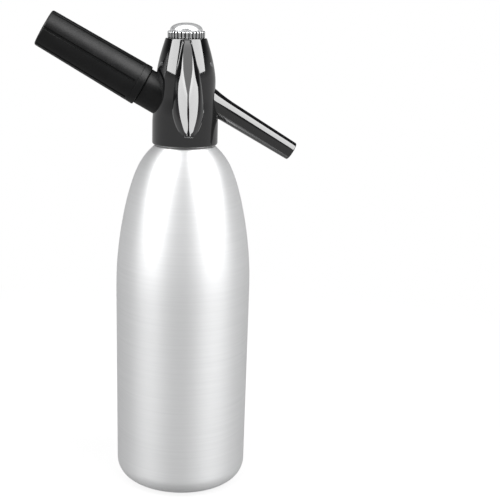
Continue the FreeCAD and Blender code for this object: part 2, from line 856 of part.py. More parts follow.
def make_spout():
    body = cone(spout_root_radius, spout_tip_radius, spout_root_start, spout_length)
    tip_edges = [edge for edge in body.Edges if abs(edge.BoundBox.ZMin - spout_length) < match_tolerance]
    body = body.makeFillet(spout_lip_radius, [edge for edge in tip_edges if edge.Closed])
    taper = (spout_root_radius - spout_tip_radius) / (spout_length - spout_root_start)
    flare_foot = spout_root_radius - taper * (spout_flare_end - spout_root_start) + seat_gap
    flare = cone(spout_flare_radius, flare_foot, spout_root_start, spout_flare_end)
    body = body.fuse(flare)
    body = body.cut(rod(liner_radius + running_gap, spout_root_start, spout_length))
    return single(on_spout_axis(body).cut(head_solid(seat_gap)))


def make_spout_liner():
    start = liner_socket_start + spout_seal_thickness + 2 * seat_gap
    liner = tube(liner_radius, liner_bore, start, spout_length - liner_recess)
    return single(on_spout_axis(liner))


def make_spout_seal():
    start = liner_socket_start + seat_gap
    ring = tube(liner_radius, spout_port_radius, start, start + spout_seal_thickness)
    return single(on_spout_axis(ring))


# Charger holder

def make_union():
    spigot = rod(union_spigot_radius, holder_socket_start + seat_gap, union_face + seat_gap)
    waist = rod(union_waist_radius, union_face, union_face + union_waist_length)
    body = rod(union_radius, union_face + union_waist_length, boss_end)
    nose = rod(holder_thread_root, boss_end, boss_end + holder_thread_length)
    ridge = thread_ridge(
        holder_thread_root,
        holder_thread_depth,
        holder_thread_pitch,
        holder_thread_turns,
        boss_end + holder_thread_pitch,
    )
    union = spigot.fuse(waist).fuse(body).fuse(nose).fuse(ridge)
    union = union.cut(rod(charger_pocket_radius, charger_seat, sleeve_end))
    pin_bore_start = charger_seat - pin_base_length - filter_thickness - 3 * seat_gap
    union = union.cut(rod(pin_base_radius + running_gap, pin_bore_start, charger_seat))
    union = union.cut(rod(gas_bore, holder_socket_start, charger_seat))
    return single(on_holder_axis(union))


def make_union_seal():
    start = holder_arm_end + seat_gap
    inner = union_spigot_radius + running_gap
    ring = tube(union_seal_radius, inner, start, start + union_seal_thickness)
    return single(on_holder_axis(ring))


def make_gas_filter():
    start = charger_seat - pin_base_length - filter_thickness - 2 * seat_gap
    return single(on_holder_axis(rod(pin_base_radius, start, start + filter_thickness)))


def make_piercing_pin():
    start = charger_seat - pin_base_length - seat_gap
    tip = charger_start + piercing_pin_reach
    base = rod(pin_base_radius, start, charger_seat - seat_gap)
    needle = rod(piercing_pin_radius, start, tip - piercing_pin_radius)
    point = cone(piercing_pin_radius, piercing_pin_radius / 4, tip - piercing_pin_radius, tip)
    pin = base.fuse(needle).fuse(point)
    for sign in (1, -1):
        duct_centre = Vector(0, sign * (pin_base_radius + piercing_pin_radius) / 2, start)
        pin = pin.cut(Part.makeCylinder(pin_base_radius / 6, pin_base_length, duct_centre))
    return single(on_holder_axis(pin))


def make_charger_seal():
    start = charger_seat + seat_gap / 2
    inner = piercing_pin_radius * 2
    outer = charger_pocket_radius - running_gap
    return single(on_holder_axis(tube(outer, inner, start, start + charger_seal_thickness)))


def make_charger():
    neck_end = charger_start + charger_neck_length
    shoulder_end = neck_end + charger_shoulder_length
    end = charger_start + charger_length
    round_start = end - charger_radius
    round_middle = charger_radius * math.sqrt(0.5)
    outline = [
        line((0, charger_start), (charger_neck_radius, charger_start)),
        line((charger_neck_radius, charger_start), (charger_neck_radius, neck_end)),
        smooth(
            [(charger_neck_radius, neck_end), (charger_radius, shoulder_end)],
            charger_shoulder_pull,
            charger_shoulder_pull,
        ),
        line((charger_radius, shoulder_end), (charger_radius, round_start)),
        arc((charger_radius, round_start), (round_middle, round_start + round_middle), (0, end)),
        line((0, end), (0, charger_start)),
    ]
    bulb = lathe(Part.__sortEdges__(outline))
    hole = rod(charger_hole_radius, charger_start, charger_start + charger_hole_depth)
    return single(on_holder_axis(bulb.cut(hole)))


def make_charger_cup():
    start = sleeve_start + cup_near_inset
    thread_end = boss_end + holder_thread_length + trim_gap
    cup = rod(cup_radius, start, cup_end)
    cup = cup.cut(rod(holder_crest_radius + running_gap, start, thread_end))
    return single(on_holder_axis(cup.cut(rod(cup_bore_radius, start, cup_end - cup_end_wall))))


def grooved_section(radius, height):
    """The sleeve's outline across its axis, with the grooves let into it."""
    floor_radius = radius - sleeve_groove_depth
    rim_half = math.asin(sleeve_groove_width / 2 / radius)
    floor_half = math.asin(sleeve_groove_width / 2 / floor_radius)

    def point(distance, angle):
        return Vector(distance * math.cos(angle), distance * math.sin(angle), height)

    edges = []
    for index in range(sleeve_groove_count):
        start = math.radians(sleeve_groove_turn) + 2 * math.pi * index / sleeve_groove_count
        end = start + 2 * math.pi / sleeve_groove_count
        rim = Part.Arc(
            point(radius, start + rim_half),
            point(radius, (start + end) / 2),
            point(radius, end - rim_half),
        )
        edges.append(rim.toShape())
        edges.append(Part.makeLine(point(radius, end - rim_half), point(floor_radius, end - floor_half)))
        edges.append(Part.makeLine(
            point(floor_radius, end - floor_half), point(floor_radius, end + floor_half)
        ))
        edges.append(Part.makeLine(point(floor_radius, end + floor_half), point(radius, end + rim_half)))
    return Part.Wire(Part.__sortEdges__(edges))


def make_grip_sleeve():
    bore = cup_radius + running_gap
    bevel = sleeve_edge_radius
    groove_start = sleeve_start + sleeve_groove_start
    slope = (sleeve_near_radius - sleeve_far_radius) / sleeve_length
    collar_radius = sleeve_near_radius - slope * sleeve_groove_start
    sections = [grooved_section(collar_radius, groove_start), grooved_section(sleeve_far_radius, sleeve_end)]
    sleeve = Part.makeLoft(sections, True, True)
    sleeve = sleeve.cut(rod(bore, sleeve_start, sleeve_end - sleeve_end_wall))
    collar = lathe([
        (bore, sleeve_start),
        (sleeve_near_radius - bevel / 2, sleeve_start),
        (sleeve_near_radius, sleeve_start + bevel),
        (collar_radius, groove_start),
        (bore, groove_start),
    ])
    far_bevel = lathe([
        (sleeve_far_radius - bevel, sleeve_end),
        (sleeve_far_radius + bevel, sleeve_end - 2 * bevel),
        (sleeve_far_radius + bevel, sleeve_end),
    ])
    return single(on_holder_axis(sleeve.fuse(collar).cut(far_bevel)))


pieces = {
    "bottle": make_bottle,
    "measuring_tube": make_measuring_tube,
    "riser_gasket": make_riser_gasket,
    "riser_collar": make_riser_collar,
    "riser_tube": make_riser_tube,
    "nose_seal": make_nose_seal,
    "head_seal": make_head_seal,
    "head_shell": make_head_shell,
    "head_core": make_head_core,
    "non_return_valve": make_non_return_valve,
    "stem_seal": make_stem_seal,
    "gland_nut": make_gland_nut,
    "lever_pin": make_lever_pin,
    "lever": make_lever,
    "lever_fork": make_lever_fork,
    "valve_stem": make_valve_stem,
    "valve_seal": make_valve_seal,
    "valve_spring": make_valve_spring,
    "valve_guide": make_valve_guide,
    "cap_ring": make_cap_ring,
    "cap_dome": make_cap_dome,
    "cap_seal": make_cap_seal,
    "spout": make_spout,
    "spout_liner": make_spout_liner,
    "spout_seal": make_spout_seal,
    "charger_union": make_union,
    "union_seal": make_union_seal,
    "gas_filter": make_gas_filter,
    "piercing_pin": make_piercing_pin,
    "charger_seal": make_charger_seal,
    "charger": make_charger,
    "charger_cup": make_charger_cup,
    "grip_sleeve": make_grip_sleeve,
}

os.makedirs("parts", exist_ok=True)
for name, make in pieces.items():
    make().exportStep("parts/" + name + ".step")
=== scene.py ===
import json
import math

import bpy
import bmesh
from mathutils import Euler, Matrix, Vector

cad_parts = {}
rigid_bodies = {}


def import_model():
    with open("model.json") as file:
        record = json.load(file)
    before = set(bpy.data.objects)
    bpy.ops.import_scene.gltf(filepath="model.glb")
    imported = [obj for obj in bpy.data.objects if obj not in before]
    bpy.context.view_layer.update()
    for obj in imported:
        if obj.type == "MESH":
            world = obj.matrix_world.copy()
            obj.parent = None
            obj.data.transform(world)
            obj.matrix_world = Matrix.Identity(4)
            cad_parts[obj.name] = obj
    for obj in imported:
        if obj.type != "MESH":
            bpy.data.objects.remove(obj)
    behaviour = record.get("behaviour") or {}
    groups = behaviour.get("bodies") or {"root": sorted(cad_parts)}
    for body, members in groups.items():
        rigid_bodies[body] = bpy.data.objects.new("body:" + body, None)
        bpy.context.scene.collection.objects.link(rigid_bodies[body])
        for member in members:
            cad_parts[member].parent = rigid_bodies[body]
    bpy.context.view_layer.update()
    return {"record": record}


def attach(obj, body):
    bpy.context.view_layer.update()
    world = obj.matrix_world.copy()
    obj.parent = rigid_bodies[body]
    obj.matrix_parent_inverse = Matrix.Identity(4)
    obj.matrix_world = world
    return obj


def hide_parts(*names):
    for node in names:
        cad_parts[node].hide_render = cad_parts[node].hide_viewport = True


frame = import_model()

# Blender's lengths are metres. Profiles, stations and names ending in _MM are millimetres.
MM = 0.001

# The photograph's camera, fitted to the standing siphon
PHOTO_SIZE = 500
FOCAL_PIXELS = 1075.0
AXIS_PIXEL_X = 183.3
AXIS_PIXEL_Y = 252.1
CAMERA_DISTANCE = 0.700
CAMERA_HEIGHT = 0.3335
CAMERA_PITCH = 14.0
CAMERA_ROLL = 0.8
CAMERA_AZIMUTH = -2.3
SENSOR_WIDTH = 36.0

# The softboxes, which face the head; azimuth 0 is behind the camera, plus is to its right
LIGHT_TARGET = Vector((0, 0, 0.25))
LIGHT_DISTANCE = 1.2
LIGHT_ELEVATION = 38.0
LIGHT_HEIGHT = 1.15
LIGHT_RADIANCE = 5.6

# The head and its axes
NECK_RADIUS_MM = 18.4
HEAD_RADIUS_MM = 21.4
HEAD_TOP_RADIUS_MM = 13.3
HEAD_BOTTOM_MM = 232.0
HEAD_TOP_MM = 300.0
PIN_BORE_MM = 1.56
PIVOT = Vector((0, -7.5, 284.0)) * MM
HOLDER_ROOT = Vector((0, 0, 253.6)) * MM
HOLDER_RISE = 29.9
SPOUT_ROOT = Vector((0, 0, 269.7)) * MM
SPOUT_FALL = 30.9

# Mesh settings
MERGE_DISTANCE = 1e-7
POLE_RADIUS = 1e-6
CUT_SHARP_ANGLE = 30.0

# The part of a noise texture's range that holds nearly all of its values
NOISE_LOW = 0.3
NOISE_HIGH = 0.7
EVEN = (1, 1, 1)


# Mesh helpers

def new_object(name, body):
    """An empty piece that rides on a body."""
    mesh = bpy.data.meshes.new(name)
    piece = bpy.data.objects.new(name, mesh)
    bpy.context.scene.collection.objects.link(piece)
    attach(piece, body)
    return piece


def finish_mesh(piece, form, sharp_angle, place=None):
    """Stores a bmesh in a piece, smooth except on its end caps and at sharp edges."""
    bmesh.ops.remove_doubles(form, verts=form.verts, dist=MERGE_DISTANCE)
    bmesh.ops.recalc_face_normals(form, faces=form.faces)
    limit = math.radians(sharp_angle)
    for face in form.faces:
        face.smooth = len(face.verts) <= 4
    for edge in form.edges:
        bent = len(edge.link_faces) == 2 and edge.calc_face_angle(0.0) >= limit
        edge.smooth = not bent and all(face.smooth for face in edge.link_faces)
    if place is not None:
        form.transform(place)
    form.to_mesh(piece.data)
    form.free()


def ring_surface(form, rings, closed_ends=True):
    """Faces between closed rings of equal length; a ring of one point is a pole."""
    made = [[form.verts.new(point) for point in ring] for ring in rings]
    for first, second in zip(made, made[1:]):
        count = max(len(first), len(second))
        if count == 1:
            continue
        for index in range(count):
            following = (index + 1) % count
            corners = [
                first[index % len(first)],
                first[following % len(first)],
                second[following % len(second)],
                second[index % len(second)],
            ]
            unique = list(dict.fromkeys(corners))
            form.faces.new(unique)
    if closed_ends:
        for ring in (made[0], made[-1]):
            if len(ring) > 2:
                form.faces.new(ring)


def circle(radius, height, segments, shape=None):
    """One ring about the Z axis; shape changes the radius by angle."""
    if radius < POLE_RADIUS:
        return [Vector((0, 0, height))]
    ring = []
    for index in range(segments):
        angle = 2 * math.pi * index / segments
        own = radius if shape is None else shape(angle, radius, height)
        ring.append(Vector((own * math.cos(angle), own * math.sin(angle), height)))
    return ring


def turned(piece, profile, segments, sharp_angle, place=None, shape=None):
    """A turned piece from a profile of (radius, height) points."""
    form = bmesh.new()
    rings = [circle(radius * MM, height * MM, segments, shape) for radius, height in profile]
    ring_surface(form, rings, closed_ends=False)
    finish_mesh(piece, form, sharp_angle, place)


def eased(points, rounds=40):
    """A line with its kinks eased out; its ends stay."""
    line = [Vector(point) for point in points]
    for _ in range(rounds):
        triples = zip(line, line[1:], line[2:])
        middle = [(before + 2 * here + after) / 4 for before, here, after in triples]
        line = [line[0]] + middle + [line[-1]]
    return [tuple(point) for point in line]


def evenly(points, spacing):
    """The same line with its points an even distance apart."""
    line = [Vector(point) for point in points]
    lengths = [(after - before).length for before, after in zip(line, line[1:])]
    total = sum(lengths)
    count = max(2, round(total / spacing))
    spread = []
    index, passed = 0, 0.0
    for step in range(count + 1):
        wanted = total * step / count
        while index < len(lengths) - 1 and passed + lengths[index] < wanted:
            passed += lengths[index]
            index += 1
        share = min((wanted - passed) / lengths[index], 1.0)
        spread.append(tuple(line[index].lerp(line[index + 1], share)))
    return spread


def closed_profile(outside, inside):
    """Joins an outside and an inside profile into one loop that ends where it starts."""
    return outside + inside[::-1] + [outside[0]]


def rounded(corner, before, after, radius, steps):
    """Points that round a profile's corner, between the points before and after it."""
    corner = Vector(corner)
    first = (Vector(before) - corner).normalized() * radius + corner
    last = (Vector(after) - corner).normalized() * radius + corner
    points = []
    for step in range(steps + 1):
        share = step / steps
        near = first.lerp(corner, share)
        far = corner.lerp(last, share)
        points.append(tuple(near.lerp(far, share)))
    return points


def spline(points, samples):
    """A smooth line through points, as a Catmull-Rom curve."""
    vectors = [Vector(point) for point in points]
    padded = [2 * vectors[0] - vectors[1]] + vectors + [2 * vectors[-1] - vectors[-2]]
    line = []
    for index in range(1, len(padded) - 2):
        p0, p1, p2, p3 = padded[index - 1:index + 3]
        for step in range(samples):
            t = step / samples
            line.append(0.5 * (
                2 * p1 + (p2 - p0) * t + (2 * p0 - 5 * p1 + 4 * p2 - p3) * t ** 2
                + (3 * p1 - p0 - 3 * p2 + p3) * t ** 3
            ))
    line.append(vectors[-1])
    return line


def axis_place(root, direction):
    """Takes +Z to a direction that lies in the plane Y = 0, turning about Y."""
    angle = math.atan2(direction.x, direction.z)
    return Matrix.Translation(root) @ Matrix.Rotation(angle, 4, "Y")


rise = math.radians(HOLDER_RISE)
fall = math.radians(SPOUT_FALL)
HOLDER_PLACE = axis_place(HOLDER_ROOT, Vector((-math.cos(rise), 0, math.sin(rise))))
SPOUT_PLACE = axis_place(SPOUT_ROOT, Vector((math.cos(fall), 0, -math.sin(fall))))
PIN_PLACE = Matrix.Translation(PIVOT) @ Matrix.Rotation(math.pi / 2, 4, "Y")


# Materials

def new_material(name):
    material = bpy.data.materials.new(name)
    material.use_nodes = True
    shader = material.node_tree.nodes["Principled BSDF"]
    return material, material.node_tree, shader


def object_noise(tree, stretch, scale, detail):
    """Noise in the object's own coordinates, stretched by a factor on each axis."""
    coordinates = tree.nodes.new("ShaderNodeTexCoord")
    mapping = tree.nodes.new("ShaderNodeMapping")
    mapping.inputs["Scale"].default_value = stretch
    noise = tree.nodes.new("ShaderNodeTexNoise")
    noise.inputs["Scale"].default_value = scale
    noise.inputs["Detail"].default_value = detail
    tree.links.new(coordinates.outputs["Object"], mapping.inputs["Vector"])
    tree.links.new(mapping.outputs["Vector"], noise.inputs["Vector"])
    return noise.outputs["Fac"]


def ranged(tree, value, low, high, value_low=NOISE_LOW, value_high=NOISE_HIGH):
    """Maps a value's own range to a low and a high value."""
    node = tree.nodes.new("ShaderNodeMapRange")
    node.inputs["From Min"].default_value = value_low
    node.inputs["From Max"].default_value = value_high
    node.inputs["To Min"].default_value = low
    node.inputs["To Max"].default_value = high
    tree.links.new(value, node.inputs["Value"])
    return node.outputs["Result"]


def tinted(tree, value, dark, light):
    """Maps a noise value to a colour between a dark and a light one."""
    ramp = tree.nodes.new("ShaderNodeValToRGB")
    ramp.color_ramp.elements[0].position = NOISE_LOW
    ramp.color_ramp.elements[1].position = NOISE_HIGH
    ramp.color_ramp.elements[0].color = (*dark, 1)
    ramp.color_ramp.elements[1].color = (*light, 1)
    tree.links.new(value, ramp.inputs["Fac"])
    return ramp.outputs["Color"]


def bumped(tree, shader, value, strength, distance):
    bump = tree.nodes.new("ShaderNodeBump")
    bump.inputs["Strength"].default_value = strength
    bump.inputs["Distance"].default_value = distance
    tree.links.new(value, bump.inputs["Height"])
    tree.links.new(bump.outputs["Normal"], shader.inputs["Normal"])


def brushed_metal(name, dark, light, roughness, anisotropy, brush_scale=900.0, metallic=1.0):
    """Turned metal with fine lines round the Z axis; its highlights are drawn out along it."""
    quarter_turn = 0.25
    line_stretch, line_detail = (0.02, 0.02, 1.0), 3.0
    cloud_stretch, cloud_scale, cloud_detail = (1.0, 1.0, 0.35), 14.0, 2.0
    smoothest, roughest = 0.94, 1.08
    line_strength, line_depth = 0.05, 0.00002
    material, tree, shader = new_material(name)
    shader.inputs["Metallic"].default_value = metallic
    shader.inputs["Anisotropic"].default_value = anisotropy
    shader.inputs["Anisotropic Rotation"].default_value = quarter_turn
    lines = object_noise(tree, line_stretch, brush_scale, line_detail)
    cloud = object_noise(tree, cloud_stretch, cloud_scale, cloud_detail)
    tree.links.new(tinted(tree, lines, dark, light), shader.inputs["Base Color"])
    rough = ranged(tree, cloud, roughness * smoothest, roughness * roughest)
    tree.links.new(rough, shader.inputs["Roughness"])
    tangent = tree.nodes.new("ShaderNodeTangent")
    tangent.direction_type = "RADIAL"
    tangent.axis = "Z"
    tree.links.new(tangent.outputs["Tangent"], shader.inputs["Tangent"])
    bumped(tree, shader, lines, line_strength, line_depth)
    return material


def gloss_plastic(name, dark, light):
    """High-gloss moulded plastic with a little haze and the faintest flow waviness."""
    body_ior, coat_ior, coat_roughness = 1.55, 1.7, 0.03
    haze_scale, haze_detail = 160.0, 5.0
    smoothest, roughest = 0.045, 0.075
    wave_scale, wave_detail = 60.0, 1.0
    wave_strength, wave_depth = 0.02, 0.0001
    material, tree, shader = new_material(name)
    shader.inputs["IOR"].default_value = body_ior
    shader.inputs["Coat Weight"].default_value = 1.0
    shader.inputs["Coat IOR"].default_value = coat_ior
    shader.inputs["Coat Roughness"].default_value = coat_roughness
    haze = object_noise(tree, EVEN, haze_scale, haze_detail)
    tree.links.new(tinted(tree, haze, dark, light), shader.inputs["Base Color"])
    tree.links.new(ranged(tree, haze, smoothest, roughest), shader.inputs["Roughness"])
    waves = object_noise(tree, EVEN, wave_scale, wave_detail)
    bumped(tree, shader, waves, wave_strength, wave_depth)
    return material


def matte_plastic(name, dark, light, roughness, grain_scale=2600.0, grain=0.25):
    """Moulded plastic with a fine spark-eroded grain and uneven sheen."""
    body_ior = 1.4
    grain_detail, grain_depth = 3.0, 0.00012
    cloud_scale, cloud_detail = 90.0, 3.0
    smoothest, roughest = 0.9, 1.12
    material, tree, shader = new_material(name)
    shader.inputs["IOR"].default_value = body_ior
    grain_noise = object_noise(tree, EVEN, grain_scale, grain_detail)
    cloud = object_noise(tree, EVEN, cloud_scale, cloud_detail)
    tree.links.new(tinted(tree, cloud, dark, light), shader.inputs["Base Color"])
    rough = ranged(tree, cloud, roughness * smoothest, roughness * roughest)
    tree.links.new(rough, shader.inputs["Roughness"])
    bumped(tree, shader, grain_noise, grain, grain_depth)
    return material


def polished_metal(name, dark, light, roughness, metallic=1.0):
    """Polished metal with small cloudy changes in its shine and the finest scratches."""
    cloud_scale, cloud_detail = 220.0, 4.0
    smoothest, roughest = 0.8, 1.25
    scratch_stretch, scratch_scale, scratch_detail = (1.0, 1.0, 0.05), 1800.0, 2.0
    scratch_strength, scratch_depth = 0.03, 0.00002
    material, tree, shader = new_material(name)
    shader.inputs["Metallic"].default_value = metallic
    cloud = object_noise(tree, EVEN, cloud_scale, cloud_detail)
    tree.links.new(tinted(tree, cloud, dark, light), shader.inputs["Base Color"])
    rough = ranged(tree, cloud, roughness * smoothest, roughness * roughest)
    tree.links.new(rough, shader.inputs["Roughness"])
    scratches = object_noise(tree, scratch_stretch, scratch_scale, scratch_detail)
    bumped(tree, shader, scratches, scratch_strength, scratch_depth)
    return material


CHROME_DARK, CHROME_LIGHT = (0.86, 0.87, 0.88), (0.93, 0.935, 0.94)
FINE_BRUSH = 1400.0

SATIN = brushed_metal("satin_aluminium", (0.835, 0.84, 0.845), (0.87, 0.875, 0.88),
                      roughness=0.5, anisotropy=0.65, metallic=0.67)
GLOSS = gloss_plastic("gloss_black", (0.0025, 0.0025, 0.003), (0.004, 0.004, 0.0045))
MATTE = matte_plastic("matte_black", (0.0025, 0.0026, 0.0028), (0.0045, 0.0047, 0.005),
                      roughness=0.42)
CHROME = polished_metal("bright_chrome", CHROME_DARK, CHROME_LIGHT, roughness=0.09)
DOME = polished_metal("dome_chrome", CHROME_DARK, CHROME_LIGHT, roughness=0.2, metallic=0.72)
# A dark material that paints the shade down in the cap ring's flutes
FLUTE_SHADE = polished_metal("flute_shadow", (0.02, 0.02, 0.021), (0.06, 0.06, 0.062), roughness=0.4)
BRASS = brushed_metal("head_brass", (0.60, 0.45, 0.22), (0.74, 0.60, 0.34),
                      roughness=0.28, anisotropy=0.3, brush_scale=FINE_BRUSH)
STAINLESS = brushed_metal("stainless", (0.58, 0.59, 0.60), (0.70, 0.71, 0.72),
                          roughness=0.22, anisotropy=0.3, brush_scale=FINE_BRUSH)
CHARGER = polished_metal("charger_steel", (0.50, 0.51, 0.52), (0.62, 0.63, 0.64), roughness=0.3)
RUBBER = matte_plastic("seal_rubber", (0.012, 0.012, 0.012), (0.022, 0.022, 0.022),
                       roughness=0.7)
WHITE = matte_plastic("white_plastic", (0.46, 0.46, 0.45), (0.54, 0.54, 0.53),
                      roughness=0.45, grain_scale=2200.0, grain=0.1)
SLOT_MATERIALS = {
    "satin_aluminium": SATIN,
    "gloss_black": GLOSS,
    "matte_black": MATTE,
    "bright_chrome": CHROME,
    "head_brass": BRASS,
    "stainless": STAINLESS,
    "charger_steel": CHARGER,
    "seal_rubber": RUBBER,
    "white_plastic": WHITE,
}


def dress_nodes():
    """Gives every CAD node the material of its slot in the record."""
    for subpart in frame["record"]["subparts"]:
        node = bpy.data.objects[subpart["node"]]
        material = SLOT_MATERIALS[subpart["material_slot"]]
        if not node.material_slots:
            node.data.materials.append(material)
        for slot in node.material_slots:
            slot.link = "OBJECT"
            slot.material = material


# Bottle

def shoulder_profile(inset, samples):
    """The shoulder as a superellipse from the body to the neck, moved inwards."""
    body_radius, start, reach = 44.9, 144.0, 87.2
    fullness, neck_fillet = 1.5, 1.5
    nudge = 0.01
    width = body_radius - NECK_RADIUS_MM
    last = math.acos(neck_fillet / width)

    def place(angle):
        return Vector((
            NECK_RADIUS_MM + width * math.cos(angle),
            start + reach * math.sin(angle) ** (2 / fullness),
        ))

    points = []
    for step in range(samples + 1):
        angle = last * step / samples
        slope = (place(angle + nudge) - place(max(angle - nudge, 0.0))).normalized()
        if step == 0:
            slope = Vector((0, 1))
        points.append(tuple(place(angle) + inset * Vector((-slope.y, slope.x))))
    return points


def build_bottle():
    """The one-piece bottle, with its dished foot, long shoulder and screw neck."""
    wall, base_radius, base_fillet, foot = 1.5, 44.1, 12.5, 31.6
    foot_inner, dish = 27.6, 4.0
    thread_radius, bore = 17.0, 14.6
    collar_top, neck_top = 233.8, 247.0
    collar_bevel, lip_bevel, bore_bevel = 0.4, 0.5, 0.4
    neck_step, neck_round, neck_steps = 1.2, 1.1, 6
    arc_steps, shoulder_samples = 14, 60
    outer_spacing, inner_spacing, inner_rounds = 1.8, 6.0, 4
    segments, sharp_angle = 192, 40.0

    def base_arc(radius):
        arc = []
        for step in range(arc_steps + 1):
            angle = math.pi / 2 * step / arc_steps
            arc.append((foot + radius * math.sin(angle), base_fillet - radius * math.cos(angle)))
        return arc

    def dish_arc(lift):
        arc = []
        for step in range(arc_steps + 1):
            radius = foot_inner * step / arc_steps
            arc.append((radius, lift + dish * (1 - (radius / foot_inner) ** 2)))
        return arc

    outer_line = [(base_radius, base_fillet)] + shoulder_profile(0.0, shoulder_samples)
    inner_line = [(base_radius - wall, base_fillet)] + shoulder_profile(wall, shoulder_samples)
    outer = eased(evenly(outer_line, outer_spacing))[1:]
    inner = eased(evenly(inner_line, inner_spacing), inner_rounds)[1:]
    neck_foot = (NECK_RADIUS_MM, outer[-1][1])
    above = (NECK_RADIUS_MM, outer[-1][1] + neck_step)
    neck_corner = rounded(neck_foot, outer[-1], above, neck_round, neck_steps)
    outside = dish_arc(0.0) + base_arc(base_fillet) + outer + neck_corner[1:]
    outside += [
        (NECK_RADIUS_MM, collar_top - collar_bevel),
        (NECK_RADIUS_MM - collar_bevel, collar_top),
        (thread_radius, collar_top),
        (thread_radius, neck_top - lip_bevel),
        (thread_radius - lip_bevel, neck_top),
    ]
    inside = dish_arc(wall) + base_arc(base_fillet - wall) + inner
    inside += [
        (bore, inner[-1][1] + wall),
        (bore, neck_top - bore_bevel),
        (bore + bore_bevel, neck_top),
    ]
    piece = new_object("bottle_body", "bottle")
    turned(piece, outside + inside[::-1], segments, sharp_angle)
    piece.data.materials.append(SATIN)
    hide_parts("bottle")


def build_neck_thread():
    """The ridge of the bottle's screw thread, tapered at both ends."""
    root, depth, pitch, turns, start = 16.9, 0.7, 3.0, 3.5, 234.3
    per_turn, taper_steps, sharp_angle = 72, 14, 40.0
    sunk, first_rise, crest_share, root_share = -0.3, 0.28, 0.11, 0.27
    total = int(per_turn * turns)
    rings = []
    for index in range(total + 1):
        angle = 2 * math.pi * index / per_turn
        ease = min(1.0, index / taper_steps, (total - index) / taper_steps)
        height = start + pitch * index / per_turn + pitch * first_rise
        section = (
            (sunk, -root_share),
            (depth * ease, -crest_share),
            (depth * ease, crest_share),
            (sunk, root_share),
        )
        ring = []
        for reach, offset in section:
            radius = (root + reach) * MM
            level = (height + offset * pitch) * MM
            ring.append(Vector((radius * math.cos(angle), radius * math.sin(angle), level)))
        rings.append(ring)
    form = bmesh.new()
    ring_surface(form, rings)
    piece = new_object("neck_thread", "bottle")
    finish_mesh(piece, form, sharp_angle)
    piece.data.materials.append(SATIN)


# Head

def head_side_profile():
    """The head's outside from the lower edge to the top."""
    skirt = [(HEAD_RADIUS_MM, 237.0), (HEAD_RADIUS_MM, 242.0)]
    stations = [
        (HEAD_RADIUS_MM, 245.0), (HEAD_RADIUS_MM, 249.0), (20.6, 255.6), (19.2, 266.4),
        (19.4, 274.0), (18.1, 282.6), (16.1, 291.0), (HEAD_TOP_RADIUS_MM, HEAD_TOP_MM),
    ]
    samples, spacing, rounds = 8, 1.0, 16
    edge_round, edge_steps = 1.6, 6
    edge = (HEAD_RADIUS_MM, HEAD_BOTTOM_MM)
    lower = rounded(edge, (19.2, HEAD_BOTTOM_MM), (HEAD_RADIUS_MM, 236.0), edge_round, edge_steps)
    return lower + eased(evenly(skirt + spline(stations, samples), spacing), rounds)


def build_head():
    """The glossy head shell, open for the lever's stem, the holder, the spout and the pin."""
    top_round, top_steps = 0.5, 4
    segments, sharp_angle = 224, 38.0
    holder_bore, spout_bore = 11.0, 5.2
    inside = [
        (19.2, 232.0), (19.2, 251.2), (17.0, 264.8), (17.0, 276.2), (11.5, 291.0), (6.5, 291.0),
        (6.5, 293.0), (8.6, 293.0), (8.6, 299.3), (11.0, 299.3), (11.0, HEAD_TOP_MM),
    ]
    side = head_side_profile()
    top = rounded(
        (HEAD_TOP_RADIUS_MM, HEAD_TOP_MM), side[-2], inside[-1], top_round, top_steps
    )
    piece = new_object("head_casing", "head")
    turned(piece, closed_profile(side[:-1] + top, inside), segments, sharp_angle)
    cut_with(piece, [
        lever_slot_tool(),
        rod_tool(holder_bore, 14.0, 34.0, HOLDER_PLACE),
        rod_tool(spout_bore, 12.0, 34.0, SPOUT_PLACE),
        rod_tool(PIN_BORE_MM, -24.0, 24.0, PIN_PLACE),
    ])
    piece.data.materials.append(GLOSS)
    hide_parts("head_shell")


def build_holder_stub():
    """The matte stub on the head that the charger holder screws onto."""
    outside = [(12.1, 15.5), (12.2, 31.5), (11.9, 32.0)]
    inside = [(10.65, 15.5), (10.65, 31.7), (10.9, 32.0)]
    segments, sharp_angle = 128, 38.0
    stub = new_object("holder_stub", "head")
    turned(stub, closed_profile(outside, inside), segments, sharp_angle, HOLDER_PLACE)
    trim_inside_head(stub)
    stub.data.materials.append(MATTE)


def tool_object(form):
    """A cutting tool, which cut_with uses up."""
    mesh = bpy.data.meshes.new("tool")
    bmesh.ops.recalc_face_normals(form, faces=form.faces)
    form.to_mesh(mesh)
    form.free()
    tool = bpy.data.objects.new("tool", mesh)
    bpy.context.scene.collection.objects.link(tool)
    return tool


def lever_slot_tool():
    """The box that opens the head's front for the lever's stem."""
    half_width, near, far, low, high = 4.6, -30.0, -8.0, 278.0, 291.6
    scale = Vector((2 * half_width, far - near, high - low)) * MM
    middle = Vector((0, (near + far) / 2, (low + high) / 2)) * MM
    form = bmesh.new()
    bmesh.ops.create_cube(form, size=1.0)
    form.transform(Matrix.Translation(middle) @ Matrix.Diagonal((*scale, 1)))
    return tool_object(form)


def rod_tool(radius, start, end, place):
    """A rod along a place's Z axis, from a start to an end height."""
    segments = 96
    form = bmesh.new()
    rings = [circle(radius * MM, height * MM, segments) for height in (start, end)]
    ring_surface(form, rings)
    form.transform(place)
    return tool_object(form)


